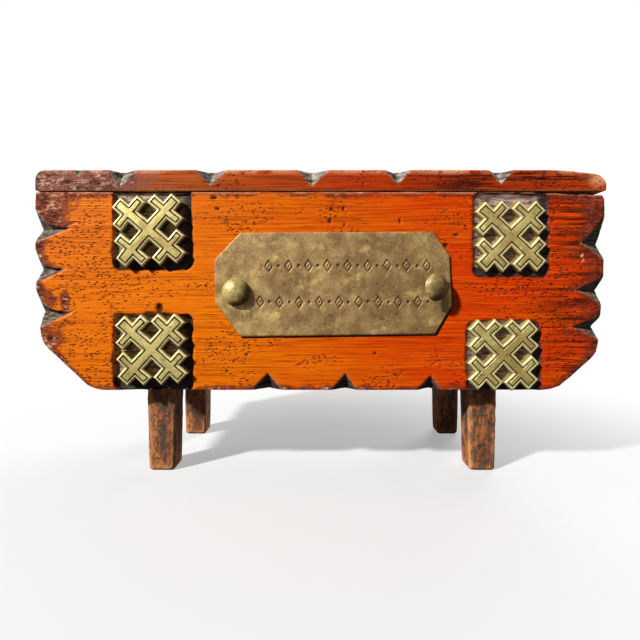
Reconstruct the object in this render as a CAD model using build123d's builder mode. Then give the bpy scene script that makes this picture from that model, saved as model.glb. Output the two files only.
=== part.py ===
from build123d import *

import os
from math import atan2, cos, degrees, radians, sin, sqrt

# A wooden money box: a trough of carved boards on four tapered legs, with a hinged lid
# that has a coin slot. Millimetres. +X is to the right as seen from the front, the front
# faces -Y and +Z is up. The origin is on the table under the middle of the box.

os.makedirs("parts", exist_ok=True)

# Case boards
case_length = 226.0
case_depth = 74.0
board_height = 78.6
board_thickness = 7.0
end_thickness = 9.0
bottom_thickness = 9.0
end_overhang = 9.0
end_lean = 3.0
left_cut_run = 23.0
left_cut_rise = 18.0
right_cut_run = 20.5
right_cut_rise = 15.0

# Lid
lid_overhang_left = -0.3
lid_overhang_right = 0.7
lid_thickness = 8.4
seam_gap = 0.4
coin_slot_length = 38.0
coin_slot_width = 4.8

# Legs and the wedges that spread their tenons
leg_height = 35.0
leg_top_width = 12.0
leg_foot_width = 10.7
foot_rounding = 1.0
left_leg_inset = 47.5
right_leg_inset = 45.5
tenon_radius = 3.8
tenon_clearance = 0.05
wedge_top = 1.2
wedge_tip = 0.5
wedge_length = 6.0

# Carved chips: how far each reaches in from the edge, how wide it opens, how deep it goes
left_chip_heights = (64.3, 48.0, 31.0)
left_chip_reach = 14.5
left_chip_rise = 4.6
left_chip_drop = 6.5
right_chip_heights = (58.3, 39.7, 24.8)
right_chip_reach = 11.5
right_chip_rise = 6.2
right_chip_drop = 5.8
end_chip_depth = 5.6
bottom_chip_places = (-20.4, 10.5, 44.2)
bottom_chip_height = 7.0
bottom_chip_width = 12.0
bottom_chip_depth = 5.0
lid_chip_places = (-79.5, -43.3, -3.0, 31.0, 71.8)
lid_chip_height = 6.6
lid_chip_width = 11.6
lid_chip_depth = 4.0
chip_overshoot = 1.25

# Brass ornaments, set in shallow square recesses
ornament_diagonal = 45.0
ornament_arm_reach = 16.3
ornament_arm_width = 5.9
ornament_bar_inset = 6.1
ornament_bar_width = 4.0
ornament_bar_length = 15.2
ornament_thickness = 5.0
ornament_bevel = 0.7
recess_depth = 2.0
recess_rounding = 3.0
spike_radius = 0.9
spike_length = 3.5
upper_left_inset = 46.6
upper_left_drop = 15.9
upper_left_turn = 4.5
lower_left_inset = 46.4
lower_left_rise = 16.4
lower_left_turn = 2.8
upper_right_inset = 38.0
upper_right_drop = 17.8
upper_right_turn = 1.0
lower_right_inset = 41.1
lower_right_rise = 14.2
lower_right_turn = 0.0

# Each recess: its width, and how far its middle lies from its ornament's
upper_left_recess = (34.0, 0.1, 1.1)
lower_left_recess = (33.0, 0.6, -2.3)
upper_right_recess = (34.0, -0.1, 1.8)
lower_right_recess = (31.0, 0.5, -1.0)

# Brass name plate and the two dome-headed nails that hold it
plate_length = 94.0
plate_height = 41.0
plate_thickness = 1.0
plate_shift = 5.4
plate_rise = 2.7
plate_left_clip_length = 10.5
plate_right_clip_length = 6.8
plate_clip_height = 11.6
nail_head_radius = 5.5
nail_dome_height = 3.8
dome_fullness = 0.6
nail_shank_radius = 1.0
nail_shank_depth = 6.0
nail_clearance = 0.05
left_nail_inset = 8.2
left_nail_drop = 2.5
right_nail_inset = 9.0
right_nail_drop = 0.9
right_nail_tilt = 30.0
rim_clearance = 0.05

# Hinges
hinge_length = 24.0
hinge_inset = 43.0
leaf_width = 6.0
leaf_thickness = 0.9
mortise_clearance = 0.1
knuckle_count = 3
knuckle_radius = 1.5
knuckle_gap = 0.3
hinge_clearance = 0.3
pin_radius = 0.7
pin_clearance = 0.05
pin_overhang = 0.3
lid_opening = 195.0

# Countersunk hinge screws and the cut brads that hold the long boards
screw_head_radius = 1.6
screw_head_height = 0.7
screw_shank_radius = 0.8
screw_length = 6.0
screw_tip = 1.5
screw_spacing = 14.0
screw_slot_width = 0.4
screw_slot_depth = 0.3
brad_head_radius = 1.2
brad_head_height = 0.6
brad_shank_radius = 0.6
brad_length = 20.0
brad_clearance = 0.04
brad_sink = 0.8
end_brad_heights = (20.0, 54.0)
front_bottom_brad_offset = 9.4
back_bottom_brad_places = (-50.0, 0.0, 50.0)

# Places worked out from the sizes above
tilt = radians(right_nail_tilt)
front_reach = plate_thickness + 2 * nail_head_radius * sin(tilt) + nail_dome_height * cos(tilt) / 2
back_reach = hinge_clearance + 2 * knuckle_radius
front_y = front_reach - (case_depth + front_reach + back_reach) / 2
back_y = front_y + case_depth
inner_front_y = front_y + board_thickness
inner_back_y = back_y - board_thickness
inner_depth = inner_back_y - inner_front_y
board_bottom = leg_height
board_top = board_bottom + board_height
lid_bottom = board_top + seam_gap
lid_top = lid_bottom + lid_thickness
case_end = case_length / 2
end_board_outer = case_end - end_overhang
end_board_inner = end_board_outer - end_thickness
bottom_top = board_bottom + bottom_thickness
plate_front_y = front_y - plate_thickness
recess_floor_y = front_y + recess_depth
pivot_y = back_y + hinge_clearance + knuckle_radius
pivot_z = board_top + seam_gap / 2
ornament_bar_distance = ornament_arm_reach - ornament_bar_inset
lid_length = case_length + lid_overhang_left + lid_overhang_right
lid_middle_x = (lid_overhang_right - lid_overhang_left) / 2
front_leg_y = inner_front_y + leg_top_width / 2
rear_leg_y = inner_back_y - leg_top_width / 2
hinge_places = (hinge_inset - case_end, case_end - hinge_inset)
leaf_middle_y = back_y - leaf_width / 2
end_brad_x = (end_board_inner + end_board_outer) / 2
bottom_brad_z = board_bottom + bottom_thickness / 2
plate_left = plate_shift - plate_length / 2
plate_right = plate_shift + plate_length / 2
plate_middle = board_bottom + board_height / 2 + plate_rise
plate_low = plate_middle - plate_height / 2
plate_high = plate_middle + plate_height / 2

front_face = Plane.XZ.offset(-front_y)
back_face = Plane.XZ.offset(-back_y)


# The ends of the long boards lean in towards the bottom
def end_x(side, height):
    share = (board_height - height) / board_height
    return side * (case_end - end_lean * share)


# A long board from the front: level top, leaning ends and cut lower corners
def board_outline():
    left_low = board_bottom + left_cut_rise
    right_low = board_bottom + right_cut_rise
    left_x = end_x(-1, left_cut_rise)
    right_x = end_x(1, right_cut_rise)
    Polyline(
        (-case_end, board_top),
        (left_x, left_low),
        (left_x + left_cut_run, board_bottom),
        (right_x - right_cut_run, board_bottom),
        (right_x, right_low),
        (case_end, board_top),
        close=True,
    )


# One three-sided chip: a V cut that opens from corner to corner on a face of a board,
# starts at its tip and deepens along a straight line to the point where it runs out
def carve_chip(face, tip, first, second, run_out):
    tip_2d = Vector(*tip)
    reach = [tip_2d + (Vector(*corner) - tip_2d) * chip_overshoot for corner in (first, second)]
    with BuildSketch(face) as mouth:
        with BuildLine():
            Polyline(tip, (reach[0].X, reach[0].Y), (reach[1].X, reach[1].Y), close=True)
        make_face()
    line = Vector(*run_out) - face.from_local_coords(tip_2d)
    extrude(mouth.sketch, amount=line.length * chip_overshoot, dir=line, mode=Mode.SUBTRACT)


# Chips along both ends of a long board, on its show face
def carve_ends(face, face_y, inward):
    for side, heights, reach, rise, drop in (
        (-1, left_chip_heights, left_chip_reach, left_chip_rise, left_chip_drop),
        (1, right_chip_heights, right_chip_reach, right_chip_rise, right_chip_drop),
    ):
        for height in heights:
            edge = end_x(side, height)
            z = board_bottom + height
            carve_chip(
                face,
                (edge - side * reach, z),
                (edge, z + rise),
                (edge, z - drop),
                (edge, face_y + inward * end_chip_depth, z),
            )


# Chips along the bottom edge of a long board, on its show face
def carve_bottom(face, face_y, inward):
    for place in bottom_chip_places:
        carve_chip(
            face,
            (place, board_bottom + bottom_chip_height),
            (place - bottom_chip_width / 2, board_bottom),
            (place + bottom_chip_width / 2, board_bottom),
            (place, face_y + inward * bottom_chip_depth, board_bottom),
        )


# A countersunk screw, or the hole for one, with the middle of its head at the seat's origin
def screw_form(seat, clearance, mode):
    head = screw_head_radius + clearance
    shank = screw_shank_radius + clearance
    neck = screw_head_height + clearance
    tip = screw_length + clearance
    section = Plane(seat.origin, x_dir=seat.x_dir, z_dir=-seat.y_dir)
    with BuildSketch(section) as profile:
        with BuildLine():
            Polyline(
                (0, 0),
                (head, 0),
                (shank, -neck),
                (shank, screw_tip - tip),
                (0, -tip),
                close=True,
            )
        make_face()
    revolve(profile.sketch, axis=Axis(seat.origin, seat.z_dir), mode=mode)


# A brad driven square into a face, or the hole for one: flat head, round shank. Its hole
# has a mouth, because some are sunk below the surface
def brad_form(seat, length, clearance, mode):
    with BuildSketch(seat) as head:
        Circle(brad_head_radius + clearance)
    extrude(head.sketch, amount=-brad_head_height, mode=mode)
    if mode == Mode.SUBTRACT:
        extrude(head.sketch, amount=brad_sink, mode=mode)
    with BuildSketch(seat) as shank:
        Circle(brad_shank_radius + clearance)
    extrude(shank.sketch, amount=-length - clearance, mode=mode)


# Middle of each ornament, from the nearest end and the nearest long edge of the board,
# with its turn, as it was set by hand, and its recess
ornament_places = {
    "ornament_upper_left": (
        upper_left_inset - case_end,
        board_top - upper_left_drop,
        upper_left_turn,
        upper_left_recess,
    ),
    "ornament_lower_left": (
        lower_left_inset - case_end,
        board_bottom + lower_left_rise,
        lower_left_turn,
        lower_left_recess,
    ),
    "ornament_upper_right": (
        case_end - upper_right_inset,
        board_top - upper_right_drop,
        upper_right_turn,
        upper_right_recess,
    ),
    "ornament_lower_right": (
        case_end - lower_right_inset,
        board_bottom + lower_right_rise,
        lower_right_turn,
        lower_right_recess,
    ),
}
ornament_seats = {}
for name, (x, z, turn, _) in ornament_places.items():
    angle = radians(turn)
    ornament_seats[name] = Plane(
        (x, recess_floor_y, z), x_dir=(cos(angle), 0, sin(angle)), z_dir=(0, -1, 0)
    )

# Seats of the screws and brads, with z pointing out of each head
body_screw_seats = []
lid_screw_seats = []
for hinge_x in hinge_places:
    for side in (-1, 1):
        screw_x = hinge_x + side * screw_spacing / 2
        body_screw_seats.append(
            Plane((screw_x, leaf_middle_y, board_top), x_dir=(1, 0, 0), z_dir=(0, 0, 1))
        )
        lid_screw_seats.append(
            Plane((screw_x, leaf_middle_y, lid_bottom), x_dir=(1, 0, 0), z_dir=(0, 0, -1))
        )

front_brad_seats = []
back_brad_seats = []
for side in (-1, 1):
    for height in end_brad_heights:
        brad_z = board_bottom + height
        sunk_y = front_y + brad_sink
        front_brad_seats.append(
            Plane((side * end_brad_x, sunk_y, brad_z), x_dir=(1, 0, 0), z_dir=(0, -1, 0))
        )
        back_brad_seats.append(
            Plane((side * end_brad_x, back_y, brad_z), x_dir=(1, 0, 0), z_dir=(0, 1, 0))
        )
for name, side in (("ornament_lower_left", -1), ("ornament_lower_right", 1)):
    brad_x = ornament_places[name][0] + side * front_bottom_brad_offset
    front_brad_seats.append(
        Plane((brad_x, recess_floor_y, bottom_brad_z), x_dir=(1, 0, 0), z_dir=(0, -1, 0))
    )
for place in back_bottom_brad_places:
    back_brad_seats.append(
        Plane((place, back_y, bottom_brad_z), x_dir=(1, 0, 0), z_dir=(0, 1, 0))
    )

nail_places = {
    "name_plate_nail_left": (plate_left + left_nail_inset, plate_middle - left_nail_drop, 0.0),
    "name_plate_nail_right": (plate_right - right_nail_inset, plate_middle - right_nail_drop, tilt),
}
leg_places = {
    "front_left_leg": (left_leg_inset - case_end, front_leg_y),
    "front_right_leg": (case_end - right_leg_inset, front_leg_y),
    "rear_left_leg": (left_leg_inset - case_end, rear_leg_y),
    "rear_right_leg": (case_end - right_leg_inset, rear_leg_y),
}

# Front board: carved ends and lower edge, four ornament recesses, holes for what it carries
with BuildPart() as front_board:
    with BuildSketch(front_face):
        with BuildLine():
            board_outline()
        make_face()
    extrude(amount=-board_thickness)
    carve_ends(front_face, front_y, 1)
    carve_bottom(front_face, front_y, 1)
    for x, z, _, (width, across, up) in ornament_places.values():
        with BuildSketch(front_face) as recess:
            with Locations((x + across, z + up)):
                RectangleRounded(width, width, recess_rounding)
        extrude(recess.sketch, amount=-recess_depth, mode=Mode.SUBTRACT)
    for seat in ornament_seats.values():
        with BuildSketch(seat) as spike_holes:
            with PolarLocations(ornament_bar_distance, 2, start_angle=ornament_diagonal):
                Circle(spike_radius + nail_clearance)
        extrude(spike_holes.sketch, amount=-spike_length - nail_clearance, mode=Mode.SUBTRACT)
    for x, z, _ in nail_places.values():
        with BuildSketch(front_face) as nail_hole:
            with Locations((x, z)):
                Circle(nail_shank_radius + nail_clearance)
        extrude(nail_hole.sketch, amount=-nail_shank_depth - nail_clearance, mode=Mode.SUBTRACT)
    for seat in front_brad_seats:
        brad_form(seat, brad_length, brad_clearance, Mode.SUBTRACT)
front_board.part.label = "front_board"
export_step(front_board.part, "parts/front_board.step")

# Back board: the same outline and carving, mortises for the hinge leaves in its top edge
with BuildPart() as back_board:
    with BuildSketch(back_face):
        with BuildLine():
            board_outline()
        make_face()
    extrude(amount=board_thickness)
    carve_ends(back_face, back_y, -1)
    carve_bottom(back_face, back_y, -1)
    with BuildSketch(Plane.XY.offset(board_top)):
        for hinge_x in hinge_places:
            with Locations((hinge_x, leaf_middle_y)):
                Rectangle(hinge_length + 2 * mortise_clearance, leaf_width + 2 * mortise_clearance)
    extrude(amount=-leaf_thickness, mode=Mode.SUBTRACT)
    for seat in body_screw_seats:
        screw_form(seat, brad_clearance, Mode.SUBTRACT)
    for seat in back_brad_seats:
        brad_form(seat, brad_length, brad_clearance, Mode.SUBTRACT)
back_board.part.label = "back_board"
export_step(back_board.part, "parts/back_board.step")

# End boards: they stand between the long boards and follow the cut corners
for name, side in (("left_end_board", -1), ("right_end_board", 1)):
    with BuildPart() as end_board:
        with BuildSketch(Plane.XZ.offset(-inner_back_y)):
            with BuildLine():
                board_outline()
            make_face()
            with Locations((side * end_brad_x, board_bottom + board_height / 2)):
                Rectangle(end_thickness, board_height, mode=Mode.INTERSECT)
        extrude(amount=inner_depth)
        for seat in front_brad_seats + back_brad_seats:
            brad_form(seat, brad_length, brad_clearance, Mode.SUBTRACT)
    end_board.part.label = name
    export_step(end_board.part, f"parts/{name}.step")

# Bottom board: between the end boards, bored for the legs' tenons
with BuildPart() as bottom_board:
    with BuildSketch(Plane.XZ.offset(-inner_back_y)):
        with BuildLine():
            board_outline()
        make_face()
        with Locations((0, board_bottom + bottom_thickness / 2)):
            Rectangle(2 * end_board_inner, bottom_thickness, mode=Mode.INTERSECT)
    extrude(amount=inner_depth)
    with BuildSketch(Plane.XY.offset(board_bottom)):
        with Locations(*leg_places.values()):
            Circle(tenon_radius + tenon_clearance)
    extrude(amount=bottom_thickness, mode=Mode.SUBTRACT)
    for seat in front_brad_seats + back_brad_seats:
        brad_form(seat, brad_length, brad_clearance, Mode.SUBTRACT)
bottom_board.part.label = "bottom_board"
export_step(bottom_board.part, "parts/bottom_board.step")


# The tapered section of a wedge, and of the split that it is driven into
def wedge_outline(x):
    wedge_bottom = bottom_top - wedge_length
    Polyline(
        (x - wedge_top / 2, bottom_top),
        (x - wedge_tip / 2, wedge_bottom),
        (x + wedge_tip / 2, wedge_bottom),
        (x + wedge_top / 2, bottom_top),
        close=True,
    )


# Legs: square, tapered to the foot, with a round tenon that is split for its wedge
for name, (x, y) in leg_places.items():
    with BuildPart() as leg:
        with BuildSketch(Plane.XY):
            with Locations((x, y)):
                Rectangle(leg_foot_width, leg_foot_width)
        with BuildSketch(Plane.XY.offset(leg_height)):
            with Locations((x, y)):
                Rectangle(leg_top_width, leg_top_width)
        loft()
        fillet(leg.faces().sort_by(Axis.Z)[0].edges(), foot_rounding)
        with BuildSketch(Plane.XY.offset(leg_height)):
            with Locations((x, y)):
                Circle(tenon_radius)
        extrude(amount=bottom_thickness)
        with BuildSketch(Plane.XZ.offset(-y)):
            with BuildLine():
                wedge_outline(x)
            make_face()
        extrude(amount=tenon_radius, both=True, mode=Mode.SUBTRACT)
    leg.part.label = name
    export_step(leg.part, f"parts/{name}.step")

# Four small wedges, driven into the tenons from inside the box
wedge_half_width = sqrt(tenon_radius**2 - (wedge_top / 2) ** 2)
with BuildPart() as leg_wedges:
    for x, y in leg_places.values():
        with BuildSketch(Plane.XZ.offset(-y)):
            with BuildLine():
                wedge_outline(x)
            make_face()
        extrude(amount=wedge_half_width, both=True)
leg_wedges.part.label = "leg_wedges"
export_step(leg_wedges.part, "parts/leg_wedges.step")

# Lid board: carved front edge, coin slot, mortises for the hinge leaves underneath
with BuildPart() as lid_board:
    with BuildSketch(Plane.XY.offset(lid_bottom)):
        with Locations((lid_middle_x, (front_y + back_y) / 2)):
            Rectangle(lid_length, case_depth)
            SlotOverall(coin_slot_length, coin_slot_width, mode=Mode.SUBTRACT)
    extrude(amount=lid_thickness)
    for place in lid_chip_places:
        carve_chip(
            front_face,
            (place, lid_top - lid_chip_height),
            (place - lid_chip_width / 2, lid_top),
            (place + lid_chip_width / 2, lid_top),
            (place, front_y + lid_chip_depth, lid_top),
        )
    with BuildSketch(Plane.XY.offset(lid_bottom)):
        for hinge_x in hinge_places:
            with Locations((hinge_x, leaf_middle_y)):
                Rectangle(hinge_length + 2 * mortise_clearance, leaf_width + 2 * mortise_clearance)
    extrude(amount=leaf_thickness, mode=Mode.SUBTRACT)
    for seat in lid_screw_seats:
        screw_form(seat, brad_clearance, Mode.SUBTRACT)
lid_board.part.label = "lid_board"
export_step(lid_board.part, "parts/lid_board.step")

# Ornaments: a cross with a bar across each arm, bevelled in front, with two rear spikes
for name, seat in ornament_seats.items():
    with BuildPart() as ornament:
        with BuildSketch(seat):
            Rectangle(2 * ornament_arm_reach, ornament_arm_width, rotation=ornament_diagonal)
            Rectangle(ornament_arm_width, 2 * ornament_arm_reach, rotation=ornament_diagonal)
            with PolarLocations(ornament_bar_distance, 4, start_angle=ornament_diagonal):
                Rectangle(ornament_bar_width, ornament_bar_length)
        extrude(amount=ornament_thickness)
        chamfer(ornament.faces().sort_by(Axis.Y)[0].edges(), ornament_bevel)
        with BuildSketch(seat):
            with PolarLocations(ornament_bar_distance, 2, start_angle=ornament_diagonal):
                Circle(spike_radius)
        extrude(amount=-spike_length)
    ornament.part.label = name
    export_step(ornament.part, f"parts/{name}.step")

# Name plate: a rectangle with its corners clipped off, left bare
with BuildPart() as name_plate:
    with BuildSketch(front_face):
        with BuildLine():
            Polyline(
                (plate_left, plate_low + plate_clip_height),
                (plate_left + plate_left_clip_length, plate_low),
                (plate_right - plate_right_clip_length, plate_low),
                (plate_right, plate_low + plate_clip_height),
                (plate_right, plate_high - plate_clip_height),
                (plate_right - plate_right_clip_length, plate_high),
                (plate_left + plate_left_clip_length, plate_high),
                (plate_left, plate_high - plate_clip_height),
                close=True,
            )
        make_face()
        for x, z, _ in nail_places.values():
            with Locations((x, z)):
                Circle(nail_shank_radius + nail_clearance, mode=Mode.SUBTRACT)
    extrude(amount=plate_thickness)
name_plate.part.label = "name_plate"
export_step(name_plate.part, "parts/name_plate.step")

# Dome-headed nails: the left one sits square, the right one is bent over at the plate
for name, (x, z, lean) in nail_places.items():
    bend = Vector(x, plate_front_y, z)
    outward = Vector(sin(lean), -cos(lean), 0)
    across = Vector(cos(lean), sin(lean), 0)
    neck_length = (nail_head_radius * sin(lean) + rim_clearance) / cos(lean)
    head_base = bend + outward * neck_length
    with BuildPart() as nail:
        with BuildSketch(Plane(bend, x_dir=(1, 0, 0), z_dir=(0, -1, 0))):
            Circle(nail_shank_radius)
        extrude(amount=-plate_thickness - nail_shank_depth)
        with BuildSketch(Plane(bend, x_dir=across, z_dir=outward)):
            Circle(nail_shank_radius)
        extrude(amount=neck_length)
        with Locations(bend):
            Sphere(nail_shank_radius)
        with BuildSketch(Plane(head_base, x_dir=across, z_dir=(0, 0, -1))):
            with BuildLine():
                Line((0, 0), (nail_head_radius, 0))
                Bezier(
                    (nail_head_radius, 0),
                    (nail_head_radius, nail_dome_height * dome_fullness),
                    (nail_head_radius * dome_fullness, nail_dome_height),
                    (0, nail_dome_height),
                )
                Line((0, nail_dome_height), (0, 0))
            make_face()
        revolve(axis=Axis(head_base, outward))
    nail.part.label = name
    export_step(nail.part, f"parts/{name}.step")


# One leaf of a butt hinge: a plate in its mortise and the knuckles that it carries
def hinge_leaf(hinge_x, plate_z_low, stations, screw_seats):
    with BuildPart() as leaf:
        with BuildSketch(Plane.XY.offset(plate_z_low)):
            with Locations((hinge_x, leaf_middle_y)):
                Rectangle(hinge_length, leaf_width)
            for station in stations:
                with Locations((hinge_x + station * knuckle_pitch, (back_y + pivot_y) / 2)):
                    Rectangle(knuckle_length, pivot_y - back_y)
        extrude(amount=leaf_thickness)
        for station in stations:
            knuckle_start = hinge_x + station * knuckle_pitch - knuckle_length / 2
            with BuildSketch(Plane.YZ.offset(knuckle_start)):
                with Locations((pivot_y, pivot_z)):
                    Circle(knuckle_radius)
            extrude(amount=knuckle_length)
        with BuildSketch(Plane.YZ.offset(hinge_x)):
            with Locations((pivot_y, pivot_z)):
                Circle(pin_radius + pin_clearance)
        extrude(amount=hinge_length, both=True, mode=Mode.SUBTRACT)
        for seat in screw_seats:
            screw_form(seat, brad_clearance, Mode.SUBTRACT)
    return leaf.part


# Hinges: two knuckles on the body leaf, one between them on the lid leaf, and a pin
knuckle_pitch = (hinge_length + knuckle_gap) / knuckle_count
knuckle_length = knuckle_pitch - knuckle_gap
for hinge_name, hinge_x in zip(("left_hinge", "right_hinge"), hinge_places):
    leaves = {
        "body_leaf": (board_top - leaf_thickness, (-1, 1), body_screw_seats),
        "lid_leaf": (lid_bottom, (0,), lid_screw_seats),
    }
    for leaf_name, (plate_z_low, stations, screw_seats) in leaves.items():
        leaf_part = hinge_leaf(hinge_x, plate_z_low, stations, screw_seats)
        leaf_part.label = f"{hinge_name}_{leaf_name}"
        export_step(leaf_part, f"parts/{hinge_name}_{leaf_name}.step")
    with BuildPart() as pin:
        with BuildSketch(Plane.YZ.offset(hinge_x)):
            with Locations((pivot_y, pivot_z)):
                Circle(pin_radius)
        extrude(amount=hinge_length / 2 + pin_overhang, both=True)
        chamfer(pin.edges().filter_by(GeomType.CIRCLE), pin_overhang)
    pin.part.label = f"{hinge_name}_pin"
    export_step(pin.part, f"parts/{hinge_name}_pin.step")

# Hinge screws, with a slot across each head
for name, seats in (
    ("hinge_screws_body", body_screw_seats),
    ("hinge_screws_lid", lid_screw_seats),
):
    with BuildPart() as screws:
        for seat in seats:
            screw_form(seat, 0.0, Mode.ADD)
            with BuildSketch(seat) as slot:
                Rectangle(2 * screw_head_radius, screw_slot_width)
            extrude(slot.sketch, amount=-screw_slot_depth, mode=Mode.SUBTRACT)
    screws.part.label = name
    export_step(screws.part, f"parts/{name}.step")

# Brads that hold the long boards to the end boards and the bottom board
for name, seats in (
    ("front_board_brads", front_brad_seats),
    ("back_board_brads", back_brad_seats),
):
    with BuildPart() as brads:
        for seat in seats:
            brad_form(seat, brad_length, 0.0, Mode.ADD)
    brads.part.label = name
    export_step(brads.part, f"parts/{name}.step")

contact_angle = 180 + 2 * degrees(atan2(hinge_clearance + knuckle_radius, lid_top - pivot_z))
print("lid opens to", lid_opening, "and would meet the back board at", round(contact_angle, 1))
print("pivot", round(pivot_y, 3), round(pivot_z, 3), "front face y", round(front_y, 3))
print("back face y", round(back_y, 3), "lid top z", round(lid_top, 3))
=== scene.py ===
import math

import bpy
import numpy as np
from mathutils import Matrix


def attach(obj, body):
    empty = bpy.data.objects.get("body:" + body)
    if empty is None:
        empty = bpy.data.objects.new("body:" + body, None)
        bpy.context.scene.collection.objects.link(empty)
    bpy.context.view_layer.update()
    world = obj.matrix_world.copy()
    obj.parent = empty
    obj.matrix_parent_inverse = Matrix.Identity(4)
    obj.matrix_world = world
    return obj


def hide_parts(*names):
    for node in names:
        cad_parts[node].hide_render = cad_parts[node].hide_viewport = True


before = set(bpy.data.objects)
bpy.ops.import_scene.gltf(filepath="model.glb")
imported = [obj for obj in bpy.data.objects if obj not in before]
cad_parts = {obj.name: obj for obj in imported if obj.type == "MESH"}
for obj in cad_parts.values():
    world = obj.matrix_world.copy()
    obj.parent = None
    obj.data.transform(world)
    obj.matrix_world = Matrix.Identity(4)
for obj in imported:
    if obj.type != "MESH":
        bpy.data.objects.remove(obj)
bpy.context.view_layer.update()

# Carved wooden money box. Lengths below are in millimetres and become metres in the meshes.
# X runs to the right as seen from the front, the front faces -Y, Z is up.

case = dict(
    halfLength=113.0, boardRight=113.5, frontY=-34.577, backY=39.423, boardBottom=35.0,
    boardHeight=78.6, boardThick=7.0, lidBottom=114.0, lidTop=122.4, lidLeft=-112.7, lidRight=113.7,
)
frontY, backY, boardBottom = case["frontY"], case["backY"], case["boardBottom"]


def smooth(value, low, high):
    # eased step: 0 below low, 1 above high, 3t^2 - 2t^3 between them
    t = np.clip((value - low) / (high - low), 0.0, 1.0)
    return t * t * (3.0 - 2.0 * t)


def ripple(x, y, cellX, cellY, seed):
    # value noise from -1 to 1: random heights on a lattice, joined by eased blends
    table = np.random.default_rng(seed).uniform(-1.0, 1.0, (128, 128))
    gx, gy = np.asarray(x) / cellX + 311.0, np.asarray(y) / cellY + 177.0
    ix, iy = np.floor(gx).astype(int), np.floor(gy).astype(int)
    tx, ty = gx - ix, gy - iy
    tx, ty = tx * tx * (3 - 2 * tx), ty * ty * (3 - 2 * ty)
    low, high = (table[ix % 128, row % 128] * (1 - tx) + table[(ix + 1) % 128, row % 128] * tx
                 for row in (iy, iy + 1))
    return low * (1 - ty) + high * ty


def lumps(x, y, cellX, cellY, seed):
    # the same noise from 0 to 1
    return 0.5 + 0.5 * ripple(x, y, cellX, cellY, seed)


def gridQuads(rows, columns, wrapColumns=False):
    # corner numbers of the cells of a rows x columns grid, anticlockwise for +row, +column
    number = np.arange(rows * columns).reshape(rows, columns)
    if wrapColumns:
        number = np.column_stack([number, number[:, 0]])
    return np.stack([number[:-1, :-1], number[:-1, 1:], number[1:, 1:], number[1:, :-1]],
                    axis=-1).reshape(-1, 4)


def gridBorder(rows, columns):
    # corner numbers round the rim of a rows x columns grid
    number = np.arange(rows * columns).reshape(rows, columns)
    return np.concatenate([number[0], number[1:, -1], number[-1, -2::-1], number[-2:0:-1, 0]])


def bandQuads(inner, outer):
    # cells between two closed rings of corner numbers
    return np.stack([inner, outer, np.roll(outer, -1), np.roll(inner, -1)], -1)


def ringOf(row, columns):
    # corner numbers of one row of a grid
    return row * columns + np.arange(columns)


def addObject(name, data):
    thing = bpy.data.objects.new(name, data)
    bpy.context.scene.collection.objects.link(thing)
    return thing


def makePiece(name, points, quads, caps, finish, slotName, node, marks, body="case", sharp=38.0):
    # points in millimetres, quads as rows of four corners, caps as closed rings of corners
    mesh = bpy.data.meshes.new(name)
    points = np.asarray(points, float).reshape(-1, 3) * 0.001
    faces = quads.tolist() + [[int(corner) for corner in ring] for ring in caps]
    mesh.from_pydata(points.tolist(), [], faces, shade_flat=False)
    mesh.validate()
    mesh.set_sharp_from_angle(angle=math.radians(sharp))
    for label, values in marks.items():
        layer = mesh.attributes.new(label, "FLOAT", "POINT")
        layer.data.foreach_set("value", np.asarray(values, np.float32).ravel())
    mesh.materials.append(finish)
    piece = addObject(name, mesh)
    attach(piece, body)
    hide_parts(node)
    return piece


def sweptPiece(name, rings, *facts, **more):
    # rings of points, joined by cells and closed by a cap at either end
    rows, n = rings.shape[:2]
    return makePiece(name, rings, gridQuads(rows, n, wrapColumns=True),
                     [ringOf(rows - 1, n), ringOf(0, n)[::-1]], *facts, **more)


# short ways to add nodes to the tree in hand

inHand = {}


def takeTree(owner):
    # the helpers below add their nodes to the tree of this material or world
    owner.use_nodes = True
    inHand["tree"] = owner.node_tree
    return owner.node_tree


def linear(red, green, blue):
    # a screen colour of 0..255 as the linear colour that a shader takes
    c = np.array([red, green, blue]) / 255.0
    c = np.where(c <= 0.04045, c / 12.92, ((c + 0.055) / 1.055) ** 2.4)
    return (*c.tolist(), 1.0)


def plug(node, sources):
    # links each socket to its source, or sets it where the source is a plain value
    for socket, source in sources.items():
        if isinstance(source, bpy.types.NodeSocket):
            inHand["tree"].links.new(source, node.inputs[socket])
        else:
            node.inputs[socket].default_value = source


def addNode(kind, inputs=None, **settings):
    node = inHand["tree"].nodes.new("ShaderNode" + kind)
    for key, value in settings.items():
        setattr(node, key, value)
    plug(node, inputs or {})
    return node


def stretch(where, scale, shift=(0.0, 0.0, 0.0)):
    return addNode("Mapping", {"Vector": where, "Scale": scale, "Location": shift}).outputs[0]


def noise(where, scale, detail=3.0, rough=0.55, shift=(0.0, 0.0, 0.0), warp=0.0):
    return addNode("TexNoise", {
        "Vector": stretch(where, scale, shift), "Scale": 1.0, "Detail": detail,
        "Roughness": rough, "Distortion": warp}).outputs["Fac"]


def spots(where, scale):
    return addNode("TexVoronoi",
                   {"Vector": stretch(where, scale), "Scale": 1.0}).outputs["Distance"]


def remap(value, low, high, atHigh=1.0, atLow=0.0):
    # eased from atLow, where the value is low or beyond, to atHigh
    return addNode("MapRange", {
        "Value": value, "From Min": low, "From Max": high, "To Min": atLow, "To Max": atHigh},
        interpolation_type="SMOOTHSTEP").outputs[0]


def maths(operation, first, second):
    return addNode("Math", {0: first, 1: second}, operation=operation).outputs[0]


def plus(first, second):
    return maths("ADD", first, second)


def minus(first, second):
    return maths("SUBTRACT", first, second)


def times(first, second):
    return maths("MULTIPLY", first, second)


def clamped(value):
    return addNode("Clamp", {0: value}).outputs[0]


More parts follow.
